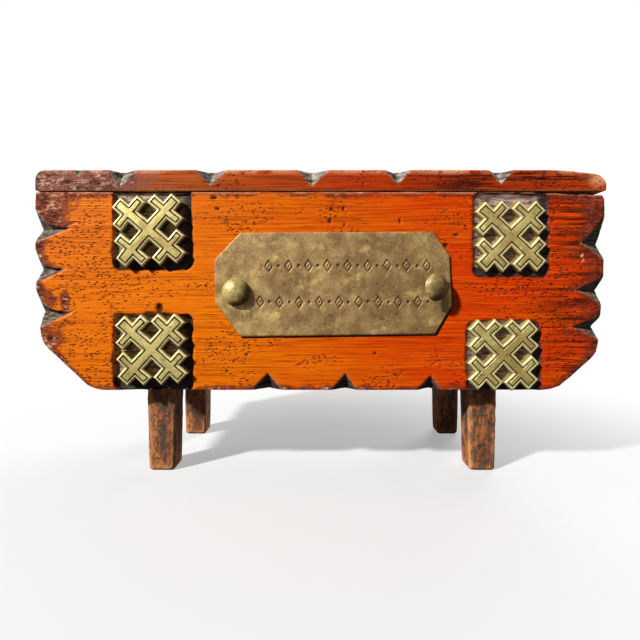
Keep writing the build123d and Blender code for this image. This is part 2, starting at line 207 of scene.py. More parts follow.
def mixed(amount, first, second):
    # both are screen colours or the outputs of other nodes
    first, second = [colour if isinstance(colour, bpy.types.NodeSocket) else linear(*colour)
                     for colour in (first, second)]
    return addNode("Mix", {0: amount, 6: first, 7: second}, data_type="RGBA").outputs[2]


def layered(colour, *layers):
    # lays each next colour over what is there, by its own amount
    for amount, over in layers:
        colour = mixed(amount, colour, over)
    return colour


def attribute(label):
    return addNode("Attribute", attribute_name=label).outputs["Fac"]


def axisOf(where, number):
    return addNode("SeparateXYZ", {0: where}).outputs[number]


def newFinish(name, specular):
    # takes the tree of a new material in hand and gives the object coordinates
    inHand["finish"] = bpy.data.materials.new(name)
    inHand["shader"] = takeTree(inHand["finish"]).nodes["Principled BSDF"]
    plug(inHand["shader"], {"Specular IOR Level": specular})
    return addNode("TexCoord").outputs["Object"]


def finished(colour, rough, height, distance, strength, metallic=0.0):
    bump = addNode("Bump", {"Height": height, "Distance": distance, "Strength": strength})
    plug(inHand["shader"], {"Base Color": colour, "Roughness": rough, "Metallic": metallic,
                            "Normal": bump.outputs[0]})
    return inHand["finish"]


# camera, lights, floor

stage = dict(
    cameraPlace=(0.0002, -0.2026, 0.0707), lens=23.85, shiftY=-0.03125,
    keyPlace=(-2.0, -1.6, 1.82), keyAim=(0.0, 0.0, 0.075), keySize=0.24, keyPower=160.0,
    rearPlace=(0.55, 0.95, 0.55), rearSize=0.7, rearPower=11.0, fill=0.05,
    floorHalf=1.5, floorColour=(218, 218, 218), bounceColour=(88, 88, 88),
)

scene = bpy.context.scene
camera = addObject("camera", bpy.data.cameras.new("camera"))
camera.location = stage["cameraPlace"]
camera.rotation_euler = (math.radians(90), 0, 0)
camera.data.sensor_width = 36.0
camera.data.lens = stage["lens"]
camera.data.shift_y = stage["shiftY"]
camera.data.clip_start = 0.01
scene.camera = camera
scene.view_settings.view_transform = "Standard"


def lamp(name, spot, size, power):
    # a round lamp that looks at the middle of the box
    light = addObject(name, bpy.data.lights.new(name, "AREA"))
    light.data.shape = "DISK"
    light.data.size = size
    light.data.energy = power
    light.location = spot
    x, y, z = (a - b for a, b in zip(stage["keyAim"], spot))
    light.rotation_euler = (math.atan2(math.hypot(x, y), -z), 0, -math.atan2(x, y))


lamp("key", stage["keyPlace"], stage["keySize"], stage["keyPower"])
lamp("rear", stage["rearPlace"], stage["rearSize"], stage["rearPower"])

scene.world = bpy.data.worlds.new("studio")
takeTree(scene.world).nodes.clear()
path = addNode("LightPath")
seen = maths("MAXIMUM", path.outputs["Is Camera Ray"], maths(
    "MAXIMUM", path.outputs["Is Glossy Ray"], path.outputs["Is Transmission Ray"]))
soft = addNode("Background", {0: (1, 1, 1, 1), 1: stage["fill"]})
white = addNode("Background", {0: (1, 1, 1, 1), 1: 1.0})
either = addNode("MixShader", {0: seen, 1: soft.outputs[0], 2: white.outputs[0]})
addNode("OutputWorld", {0: either.outputs[0]})

far = stage["floorHalf"]
floorMesh = bpy.data.meshes.new("floor")
floorMesh.from_pydata([(x, y, 0.0) for x in (-far, far) for y in (-far, far)], [], [(0, 2, 3, 1)])
floor = addObject("floor", floorMesh)
where = newFinish("paleFloor", 0.1)
shader = inHand["shader"]
seen = addNode("LightPath").outputs["Is Camera Ray"]
plug(shader, {"Roughness": 0.9,
              "Base Color": mixed(seen, stage["bounceColour"], stage["floorColour"])})
glow = addNode("Emission", {0: (1, 1, 1, 1), 1: 1.0})
away = addNode("VectorMath", {0: where}, operation="LENGTH").outputs["Value"]
farOff = times(remap(away, 0.02, 0.26, 1.0, 0.30), seen)
both = addNode("MixShader", {0: farOff, 1: shader.outputs[0], 2: glow.outputs[0]})
plug(inHand["tree"].nodes["Material Output"], {0: both.outputs[0]})
floorMesh.materials.append(inHand["finish"])
print("stage is set")


# finishes of wood

def grainPlace(where):
    # object coordinates with the height swayed slowly, so that the grain lines wander
    sway = (0, 0, 0.0025)
    drift = addNode("TexNoise", {"Vector": stretch(where, (14, 30, 45)), "Scale": 1.0,
                                 "Detail": 1.0}).outputs["Color"]
    return addNode("VectorMath", {0: drift, 1: sway, 2: where},
                   operation="MULTIPLY_ADD").outputs[0]


def insideTrough(where):
    # 1 on the faces that look into the box
    across = maths("ABSOLUTE", axisOf(where, 0), 0.0)
    deepIn = axisOf(where, 1)
    return times(remap(across, 0.0955, 0.0952), times(
        remap(deepIn, -0.0279, -0.0276), remap(deepIn, 0.0327, 0.0324)))


def underLid(where):
    # 1 on the lid's underside
    return remap(axisOf(where, 2), 0.1144, 0.11415)


def dustyInside(where):
    # colour of wood that was never varnished: grey-brown, with stains
    tone = noise(where, (60, 320, 700), 4.0, 0.62)
    stain = noise(where, (30, 45, 45), 4.0, 0.6, (3, 1, 6))
    return layered((166, 122, 82), (remap(tone, 0.36, 0.66), (112, 76, 48)),
                   (remap(stain, 0.46, 0.68, 0.6), (74, 52, 38)))


def varnishedWood(name, pale, warm, red, dark, deep, bruised, redFrom, cutPale, gloom,
                  cutDark=(48, 40, 34), redTo=0.08, hidden=insideTrough, gloss=0.42):
    # stained and varnished softwood: fine grain along x, pits, dark ends and bruises
    where = newFinish(name, 0.07)
    grain = grainPlace(where)
    across = axisOf(where, 0)
    broad = noise(where, (22, 40, 60))
    shade = clamped(plus(remap(across, redFrom, redTo), times(minus(broad, 0.5), 1.1)))
    fine = noise(grain, (52, 1000, 2000), 3.0, 0.62)
    wide = noise(grain, (12, 330, 640), 4.0, 0.62)
    dashes = noise(grain, (105, 900, 1700), 2.0, 0.5)
    streaks = noise(grain, (26, 420, 700), 4.0, 0.68, (5, 2, 8))
    gloomy = times(remap(across, gloom[0], gloom[1]), remap(streaks, 0.47, 0.60, gloom[2]))
    toEnds = remap(maths("ABSOLUTE", across, 0.0), 0.05, 0.10, 0.16)
    pitField = remap(plus(noise(where, (46, 60, 70)), toEnds), 0.48, 0.60)
    pitted = times(remap(spots(grain, (480, 900, 1300)), 0.38, 0.18), pitField)
    patch = noise(where, (110, 110, 150), 5.0, 0.72)
    worn = plus(attribute("wear"), times(minus(patch, 0.5), 1.9))
    speck = noise(grain, (420, 420, 760), 4.0, 0.7)
    blackened = times(remap(worn, 0.55, 0.95), remap(speck, 0.50, 0.58))
    flaked = times(remap(worn, 0.62, 0.95), times(
        remap(speck, 0.45, 0.38), remap(across, 0.05, 0.09, 0.1, 1.0)))
    cut = attribute("cut")
    bareTone = noise(grain, (170, 300, 900), 4.0, 0.66)
    never = hidden(where)
    colour = layered(
        warm, (shade, red),
        (times(remap(fine, 0.50, 0.64), 0.5), dark),
        (times(remap(wide, 0.46, 0.68), 0.24), dark),
        (remap(fine, 0.46, 0.34, 0.28), pale),
        (remap(dashes, 0.62, 0.72, 0.6), deep),
        (gloomy, deep),
        (times(pitted, 0.85), (48, 14, 6)),
        (remap(worn, 0.34, 0.62, 0.78), bruised),
        (times(blackened, 0.85), (34, 18, 16)),
        (times(flaked, 0.85), (224, 182, 158)),
        # pale marks: worn edges and dents, and on the front board a painted highlight along the
        # chip edges
        (times(attribute("rub"), remap(patch, 0.38, 0.50)), (228, 150, 104)),
        (times(attribute("dint"), 0.9), (30, 14, 10)),
        (cut, mixed(remap(bareTone, 0.36, 0.66), cutDark, cutPale)),
        (attribute("sunk"), mixed(remap(bareTone, 0.34, 0.62), (78, 62, 55), (204, 182, 167))),
        # near black from the front board's dark mark: painted shade and painted shadow
        (attribute("paintedShadeAndDirt"), (20, 14, 10)),
        (never, dustyInside(where)))
    bare = maths("MAXIMUM", cut, never)
    height = minus(plus(times(fine, 0.6), times(bareTone, times(bare, 1.6))), times(pitted, 0.7))
    rough = plus(times(fine, 0.2), plus(times(bare, 0.35), gloss - 0.1))
    return finished(colour, rough, height, 0.00035, 0.8)


def plainWood(name, light, dark, along, gloss=0.6, hidden=None):
    # bare or thinly stained wood: grain lines at right angles to the larger scales
    where = newFinish(name, 0.25)
    fine = noise(where, along, 4.0, 0.6, warp=0.3)
    wide = noise(where, tuple(k * 0.28 for k in along))
    tone = plus(times(fine, 0.55), times(wide, 0.45))
    stained = remap(noise(where, (50, 50, 50)), 0.5, 0.75, 0.5)
    colour = layered(light, (remap(tone, 0.36, 0.66), dark), (stained, (48, 26, 14)))
    if hidden:
        colour = mixed(hidden(where), colour, dustyInside(where))
    return finished(colour, plus(times(fine, 0.2), gloss - 0.1), fine, 0.0003, 0.7)


frontWood = varnishedWood(
    "frontWood", pale=(246, 140, 16), warm=(238, 118, 2), red=(218, 60, 3), dark=(138, 40, 4),
    deep=(72, 20, 4), bruised=(112, 44, 28), redFrom=-0.07, cutPale=(142, 124, 108),
    gloom=(0.074, 0.104, 0.95))
backWood = varnishedWood(
    "backWood", pale=(204, 112, 36), warm=(190, 92, 20), red=(164, 62, 12), dark=(104, 38, 10),
    deep=(56, 18, 8), bruised=(104, 46, 30), redFrom=-0.095, cutPale=(150, 122, 96),
    gloom=(-0.2, 0.1, 0.6), gloss=0.5)
lidWood = varnishedWood(
    "lidWood", pale=(202, 108, 46), warm=(176, 82, 24), red=(182, 54, 8), dark=(92, 28, 8),
    deep=(44, 14, 8), bruised=(134, 84, 72), redFrom=-0.07, redTo=0.03, cutDark=(54, 47, 42),
    cutPale=(178, 166, 152), gloom=(0.016, 0.08, 1.2), hidden=underLid)
caseWood = plainWood("caseWood", (196, 92, 22), (118, 44, 12), (160, 24, 620), 0.5, insideTrough)
bareWood = plainWood("bareWood", (196, 152, 104), (140, 98, 60), (20, 120, 420))
print("wood is mixed")


# Chips at the ends: height of the tip, its reach, then rise and drop of the two facets, each
# with the power that curves the facet's front edge, and the depth. Chips at the lower edge:
# middle x, height, reach to the left and to the right, depth
endChips = dict(
    left=((64.3, 14.8, 8.0, 3.2, 5.6, 1.0, 5.6), (48.0, 13.0, 8.2, 4.0, 6.0, 1.0, 5.6),
        (31.0, 15.0, 8.4, 4.2, 6.4, 1.0, 5.6)),
    right=((58.3, 10.2, 11.0, 1.15, 7.1, 1.3, 6.2), (39.7, 11.6, 5.6, 1.1, 6.2, 1.5, 5.8),
        (24.8, 11.8, 4.6, 1.0, 5.4, 1.4, 6.0)),
    bottom=((-20.4, 7.3, 6.8, 5.9, 5.0), (10.5, 7.1, 6.3, 4.6, 5.0), (44.2, 6.3, 5.9, 4.4, 5.0)),
)
# Recesses: middle x, middle height, half width, half height
recesses = ((-66.3, 64.6, 15.9, 17.2), (-66.0, 15.1, 15.8, 15.4), (75.8, 61.6, 15.1, 17.0),
            (72.9, 13.4, 14.8, 14.3))
# Outline of both ends: height above the board's bottom, then x
endLook = dict(
    left=((0, -85.5), (0.3, -87.6), (0.9, -89.6), (1.9, -92.0), (3.2, -93.6), (5.0, -95.6),
        (15.4, -107.0), (16.8, -108.3), (18.4, -109.5), (20.6, -110.5), (25, -111.2), (31, -112.2),
        (42, -112.8), (46, -113.0), (76, -113.0), (78.6, -112.8)),
    right=((0, 88.0), (0.4, 91.6), (1.6, 95.2), (4.8, 99.4), (8.3, 103.4), (11.9, 107.3),
        (13.4, 108.6), (15.2, 109.9), (19.8, 111.0), (30, 111.6), (42, 112.9), (60, 113.5),
        (76.5, 113.4), (78.6, 112.3)),
)
# Bruises: middle x and height, half width and height, strength. Dents: the same with a depth.
# Scores: both ends as x and height, half width, depth
boardLook = dict(
    recessDepth=1.9, rightRecessDepth=0.95, recessRounding=3.2, recessWaviness=0.5, arris=0.8,
    endWaviness=0.25, surfaceWaviness=0.10, cutRoughness=0.22, deepest=6.4, paleDentsFrom=103,
    rearWear=0.55, rearChamfer=0.35,
    bruises=((-109, 71, 7, 8, 0.75), (-98, 72, 12, 9, 0.30), (111, 68, 7, 13, 0.75),
        (104, 60, 9, 9, 0.22), (106, 40, 9, 9, 0.26), (104, 25, 9, 8, 0.22),
        (-107, 20, 6, 6, 0.35), (-100.8, 35.0, 1.6, 3.8, 0.95), (101, 5, 5, 4, 0.4),
        (-110, 35, 5, 6, 0.35), (-110, 52, 5, 5, 0.2)),
    dents=((-42.0, 76.2, 1.5, 0.7, 0.5), (-40.4, 71.9, 1.2, 0.5, 0.4), (4.6, 71.8, 0.5, 1.1, 0.5),
        (9.5, 71.8, 0.5, 1.1, 0.5), (4.2, 67.0, 0.5, 1.2, 0.5), (9.9, 65.4, 0.5, 0.9, 0.4),
        (31.8, 67.1, 0.5, 1.2, 0.5), (-63.4, 32.4, 1.5, 2.2, 0.9), (22.0, 14.6, 0.7, 0.6, 0.5),
        (49.8, 57.4, 0.9, 1.1, 0.5), (-29.0, 14.0, 0.8, 0.5, 0.4), (30.0, 6.0, 0.9, 0.5, 0.4),
        (103.9, 53.4, 0.7, 0.8, 0.5), (104.2, 51.4, 0.6, 0.7, 0.5), (54.0, 61.5, 1.4, 0.5, 0.3)),
    scores=((88.0, 24.6, 98.5, 24.8, 0.45, 0.5), (-39.0, 26.5, -30.5, 18.8, 0.5, 0.35),
        (30.5, 4.5, 33.2, 7.4, 0.35, 0.35), (-101.5, 64.6, -96.4, 66.6, 0.4, 0.35),
        (44.0, 9.4, 47.5, 11.8, 0.35, 0.3), (62.0, 72.5, 66.5, 74.0, 0.35, 0.3)),
)

# Plate outline by height above the board's bottom: left and right edge, low and high edge.
# The front board takes it too, for the plate's painted shadow, moved by shadeX and shadeZ
plateLook = dict(
    leftHeights=(21.2, 34.5, 51.4, 62.3), lefts=(-31.2, -41.1, -41.5, -31.2),
    rightHeights=(22.2, 33.5, 53.2, 58.3, 62.7), rights=(45.6, 52.3, 51.4, 47.8, 45.0),
    low=21.2, lowSlope=1.0, high=62.3, highSlope=0.4, thick=0.95, dent=0.16, punch=0.34,
    edgeRound=0.5, edgeDrop=0.3, rear=0.12, shadeX=0.6, shadeZ=0.7,
    hollows=((-33.0, 27.0, 2.2, 0.2), (40.0, 50.0, 1.4, 0.25), (-33.4, 39.5, 7.0, 0.12),
        (20.0, 28.0, 2.0, 0.12)),
    rowHeights=(49.2, 34.8), rowStarts=(-20.0, -23.5), rowEnds=(42.5, 41.5), pitch=3.9,
    lozengeSlope=(1.05, 0.7), lozengeReach=1.52, lineHalf=0.28, dot=0.62, pin=0.3,
)

# Seats of the hinge leaves: middle from the centre, half length, depth, width, and the lid's
# grid columns on both sides of each end of a seat
hingeLook = dict(middle=70, half=12.36, deep=0.93, wide=6.1, columns=(-12.45, -12.3, 12.3, 12.45))

crowd = [0, 0.18, 0.4, 0.75, 1.15, 1.6]  # grid steps in from an edge


def boardRows():
    # heights of the grid rows: crowded at both edges
    return np.concatenate([crowd, np.arange(2.1, 76.6, 0.47), [
        77.0, 77.45, 77.85, 78.2, 78.42, 78.6]])


def boardShares():
    # places of the grid columns from 0 at the left end to 1 at the right: fine near the ends
    middle = case["halfLength"]
    half = np.concatenate([crowd, np.arange(2.05, 19, 0.45), np.linspace(19.2, middle, 158)])
    return np.concatenate([half, 2 * middle - half[-2::-1]]) / (2 * middle)


def endPlaces(height):
    # x of both ends at a height: leaning ends, then the cut lower corners, a little uneven
    left = np.interp(height, *zip(*endLook["left"]))
    right = np.interp(height, *zip(*endLook["right"]))
    wobble = boardLook["endWaviness"]
    left = left + wobble * lumps(height, 0 * height, 5.5, 1, 5)
    right = right - wobble * lumps(height, 0 * height, 5.0, 1, 6)
    return np.maximum(left, -case["halfLength"]), np.minimum(right, case["boardRight"])


def chipDepth(x, height, left, right):
    # each chip is a V: depth grows from the tip to the edge and falls to both sides of the
    # valley, linearly, over a span that itself follows a power of the way from tip to edge
    depth = np.zeros_like(x)
    for edge, side, rows in ((left, -1, endChips["left"]), (right, 1, endChips["right"])):
        for tip, reach, rise, riseBend, drop, dropBend, deep in rows:
            way = np.clip(1.0 - (edge - x) * side / reach, 0.0, 1.15)
            up = height - tip
            span = np.where(up > 0, rise * way**riseBend, drop * way**dropBend) + 0.25
            share = np.clip(1.0 - np.abs(up) / span, 0, 1)
            depth = np.maximum(depth, deep * way * share * (way > 0))
    for middle, tall, toLeft, toRight, deep in endChips["bottom"]:
        way = np.clip(1.0 - height / tall, 0, 1)
        span = np.where(x < middle, toLeft, toRight)
        depth = np.maximum(depth, deep * np.clip(way - np.abs(x - middle) / span, 0, 1))
    return depth


def recessShare(x, height):
    # rounded box distance: 1 inside a recess, 0 outside, with a short steep wall; painted shade
    # lies along the lower and the right side, and a thinner darkening round the whole rim
    share, darkening = np.zeros_like(x), np.zeros_like(x)
    r = boardLook["recessRounding"]
    for number, (midX, midZ, halfX, halfZ) in enumerate(recesses):
        dx = np.abs(x - midX) - (halfX - r)
        dz = np.abs(height - midZ) - (halfZ - r)
        gap = np.hypot(np.clip(dx, 0, None), np.clip(dz, 0, None)) + np.minimum(
            np.maximum(dx, dz), 0) - r
        gap = gap + boardLook["recessWaviness"] * ripple(x, height, 4.2, 4.2, 40 + number)
        share = np.maximum(share, smooth(-gap, -0.3, 1.0))
        # painted shade along the lower and the right side of each recess
        low = smooth(midZ - height, halfZ - 6.5, halfZ - 3.0)
        corner = np.maximum(low, smooth(x - midX, halfX - 6.5, halfX - 2.5))
        rim = smooth(-gap, -0.2, 0.6) * (1 - smooth(-gap, 1.8, 3.8))
        darkening = np.maximum(darkening, smooth(-gap, -0.4, 0.3) * corner)
        darkening = np.maximum(darkening, rim * (0.6 + 0.25 * ripple(x, height, 2.6, 1.1, 50 + number)))
    return share, darkening


def frontOnly(x, height, chips, depth):
    # what the front board has and the back board lacks: ellipsoid dents, V-shaped scores,
    # recesses with a wavy floor, painted shade in them and in the lower chips, and the plate's
    # painted shadow
    sunk, darkening = recessShare(x, height)
    dented, pale = np.zeros_like(x), np.zeros_like(x)
    for midX, midZ, wide, tall, deep in boardLook["dents"]:
        dent = np.clip(1.0 - ((x - midX) / wide) ** 2 - ((height - midZ) / tall) ** 2, 0, 1)
        depth = np.maximum(depth, deep * np.sqrt(dent))
        marked = pale if midX > boardLook["paleDentsFrom"] else dented
        np.maximum(marked, smooth(dent, 0.0, 0.35), out=marked)
    for x0, z0, x1, z1, wide, deep in boardLook["scores"]:
        goX, goZ = x1 - x0, z1 - z0
        along = np.clip(((x - x0) * goX + (height - z0) * goZ) / (goX**2 + goZ**2), 0, 1)
        score = 1 - smooth(np.hypot(x - x0 - along * goX, height - z0 - along * goZ), 0.0, wide)
        depth = np.maximum(depth, deep * score)
        dented = np.maximum(dented, 0.4 * score)
    # painted shadow of the plate: its outline moved right and down by shadeX and shadeZ
    look = plateLook
    plateX, plateZ = x - look["shadeX"], height + look["shadeZ"]
    beside = np.minimum.reduce([
        plateX - np.interp(plateZ, look["leftHeights"], look["lefts"]),
        np.interp(plateZ, look["rightHeights"], look["rights"]) - plateX,
        plateZ - look["low"] - look["lowSlope"] * (plateX + 31) / 76, look["high"] - plateZ])
    darkening = np.maximum(darkening, smooth(beside, -0.25, 0.15))
    # painted shade in the chips along the lower edge, which face down
    lowChips = smooth(chips, 0.3, 1.0) * (height < 12) * (np.abs(x) < 60)
    darkening = np.maximum(darkening, 0.65 * lowChips)
    recessFloor = np.where(x < 0, boardLook["recessDepth"], boardLook["rightRecessDepth"])
    recessFloor = recessFloor + 0.16 * ripple(x, height, 3.5, 1.7, 21)
    return np.maximum(depth, sunk * recessFloor), sunk, dented, pale, darkening


def longBoard(name, front, finish, slotName, node):
    # depth(x, height) = chips, recesses, rounded arris and seeded waviness, on a grid that
    # follows the board's outline; border rings carried back close it against a flat rear
    look, boardHigh, thick = boardLook, case["boardHeight"], case["boardThick"]
    height, share = np.meshgrid(boardRows(), boardShares(), indexing="ij")
    left, right = endPlaces(height)
    x = left + (right - left) * share
    chips = chipDepth(x, height, left, right)
    toEdge = np.minimum.reduce([x - left, right - x, height, boardHigh - height])
    arris = look["arris"] * (1.0 + 0.45 * ripple(x, height, 7.0, 7.0, 11))
    arris = arris * (1 - 0.6 * (1 - smooth(height, 0.8, 3.0)))
    near = np.clip(toEdge, 0, arris)
    rounded = arris - np.sqrt(np.clip(arris**2 - (arris - near) ** 2, 0, None)) - 0.02
    # the deeper of the two, with a fillet about 0.18 wide where they cross
    depth = 0.5 * (chips + rounded + np.sqrt((chips - rounded) ** 2 + 0.18**2)) - 0.09
    sunk, dented, pale, darkening = (np.zeros_like(x) for _ in range(4))
    if front:
        depth, sunk, dented, pale, darkening = frontOnly(x, height, chips, depth)
    wave = look["surfaceWaviness"] * (ripple(x, height, 26, 9, 2) + 0.5 * ripple(
        x, height, 9, 1.6, 3))
    rough = look["cutRoughness"] * smooth(chips, 0.1, 1.2) * ripple(x, height, 1.6, 1.2, 9)
    depth = np.clip(depth + np.clip(wave, 0, None) + rough, 0.0, look["deepest"])
    border = gridBorder(*x.shape)
    points = np.stack([x, depth, height], -1).reshape(-1, 3)
    base, n = len(points), len(border)
    mortised = (not front) * (np.abs(np.abs(points[:, 0]) - hingeLook["middle"])
                              < hingeLook["half"])
    seat = boardHigh - hingeLook["deep"]
    points[mortised, 2] = np.minimum(points[mortised, 2], seat)
    rings, quads, inner = [points], [gridQuads(*x.shape)], border
    for number, share in enumerate((0.12, 0.4, 0.8, 0.874, 0.882, 0.95, 1.0)):
        ring = points[border].copy()
        ring[:, 1] += (thick - ring[:, 1]) * share
        if share > 0.88:  # behind the hinge leaf the board is whole again
            ring[mortised[border] & (ring[:, 2] > 70), 2] = boardHigh
        pull = look["rearChamfer"] if share == 1.0 else 0.0
        ring[:, 0] -= np.sign(ring[:, 0]) * pull
        ring[:, 2] += np.sign(boardHigh / 2 - ring[:, 2]) * pull
        rings.append(ring)
        outer = base + ringOf(number, n)
        quads.append(bandQuads(inner, outer))
        inner = outer
    points, quads, cap = np.concatenate(rings), np.concatenate(quads), inner[::-1]
    if front:
        points[:, 1] += frontY
    else:
        points[:, 1] = backY - points[:, 1]
        quads, cap = quads[:, ::-1], cap[::-1]
    tired = smooth(points[:, 0], 76, 111) * smooth(points[:, 2], 70, boardHigh) if front else 0
    points[:, 2] += boardBottom - tired * (1.1 + 0.35 * ripple(
        points[:, 0], 0 * points[:, 0], 3.1, 1, 14))
    endWear = 0.75 * smooth(-toEdge, -4.5, 0.2) + 0.42 * smooth(np.abs(x), 88, 112)
    wear = np.maximum(endWear, 0.5 * smooth(height, 73.5, boardHigh))
    for midX, midZ, wide, tall, much in look["bruises"]:
        wear = wear + much * np.exp(-((x - midX) / wide) ** 2 - ((height - midZ) / tall) ** 2)
    wear = wear + 0.5 * smooth(sunk, 0.0, 0.2) * (1 - smooth(sunk, 0.5, 0.9))
    wear = np.clip(wear + 0.3 * dented, 0, 1.15)
    # a pale band along the edges of the chips: painted highlight; the top arris below is rubbed
    # pale, and pale dents are added
    rub = smooth(chips, 0.0, 0.12) * (1 - smooth(chips, 0.3, 0.6))
    rub = np.maximum(rub, 0.8 * smooth(height, 77.4, 78.4)) * (
        0.6 + 0.4 * ripple(x, height, 4, 4, 15))
    # the near-black mark is painted shade in the recesses and lower chips and the plate's painted
    # shadow, with a darkening round the recess rims
    marks = dict(cut=smooth(chips, 0.25, 0.7), wear=wear, sunk=0.9 * smooth(sunk, 0.35, 0.95),
                 rub=np.maximum(rub, pale), dint=dented, paintedShadeAndDirt=0.92 * darkening)
    for label, values in marks.items():
        rear = look["rearWear"] if label == "wear" else 0.0
        marks[label] = np.append(values, np.full(len(points) - base, rear))
    return makePiece(name, points, quads, [cap], finish, slotName, node, marks)


longBoard("carvedFront", True, frontWood, "front_wood", "front_board")
longBoard("carvedBack", False, backWood, "case_wood", "back_board")
print("long boards are carved")


# Lid chips: apex x, spread to the left and right, depth down the front, reach back on top
lidChips = ((-79.6, 4.6, 7.4, 7.5, 4.9), (-43.5, 6.2, 7.4, 6.6, 5.2), (-3.0, 6.4, 7.6, 6.8, 4.8),
            (31.0, 5.4, 6.2, 6.1, 5.2), (72.0, 5.4, 5.4, 6.1, 5.4), (-95.6, 1.8, 2.2, 2.8, 1.4))
lidLook = dict(
    slotLength=38.0, slotWidth=4.8, slotX=0.5, slotY=2.423, slotEdge=0.45, halfLength=113.2,
    halfDepth=37.0, leftRound=4.2, rightRound=5.25, frontRound=0.55, backRound=1.5,
    underRound=0.5, waviness=0.06, sag=1.7, frontWaviness=0.22, cutRoughness=0.16,
    topInsets=(4.2, 3.4, 2.7, 2.1, 1.6, 1.2, 0.85, 0.55, 0.3, 0.12, 0.0),
    sideDrops=(0.25, 0.55, 0.9, 1.3, 1.75, 2.3, 2.9, 3.6, 4.3, 5.0, 5.8, 6.6, 7.3, 7.8, 8.15, 8.4),
)


def lidRing():
    # stations round the lid in plan, anticlockwise from the front left corner, and the
    # matching stations on the slot, both as n x 2 arrays
    look, left, right = lidLook, case["lidLeft"], case["lidRight"]
    frontX = np.unique(np.concatenate([np.linspace(left, right, 330)] + [
        np.arange(apex - toLeft, apex + toRight, 0.42)
        for apex, toLeft, toRight, _, _ in lidChips]))
    sideY = np.linspace(frontY, backY, 74)[1:-1]
    seats = [side * (hingeLook["middle"] + e) for side in (-1, 1) for e in hingeLook["columns"]]
    backX = np.unique(np.append(np.linspace(left, right, 120), seats))[::-1]
    outer = np.concatenate([
        np.stack([frontX, np.full_like(frontX, frontY)], -1),
        np.stack([np.full_like(sideY, right), sideY], -1),
        np.stack([backX, np.full_like(backX, backY)], -1),
        np.stack([np.full_like(sideY, left), sideY[::-1]], -1)])
    middle = np.array([look["slotX"], look["slotY"]])
    radius = look["slotWidth"] / 2
    straight = look["slotLength"] / 2 - radius
    x, y = (outer - middle).T
    onLong = np.abs(np.abs(y) - look["halfDepth"]) < 0.01  # the lid's front and back
    inner = np.stack([
        middle[0] + np.where(onLong, straight * 1.02 * x / look["halfLength"], np.sign(x) * (
            straight + radius * np.sqrt(np.clip(1 - (y / look["halfDepth"]) ** 2, 0, 1)))),
        middle[1] + np.where(onLong, np.sign(y) * radius, radius * y / look["halfDepth"])], -1)
    return outer, inner


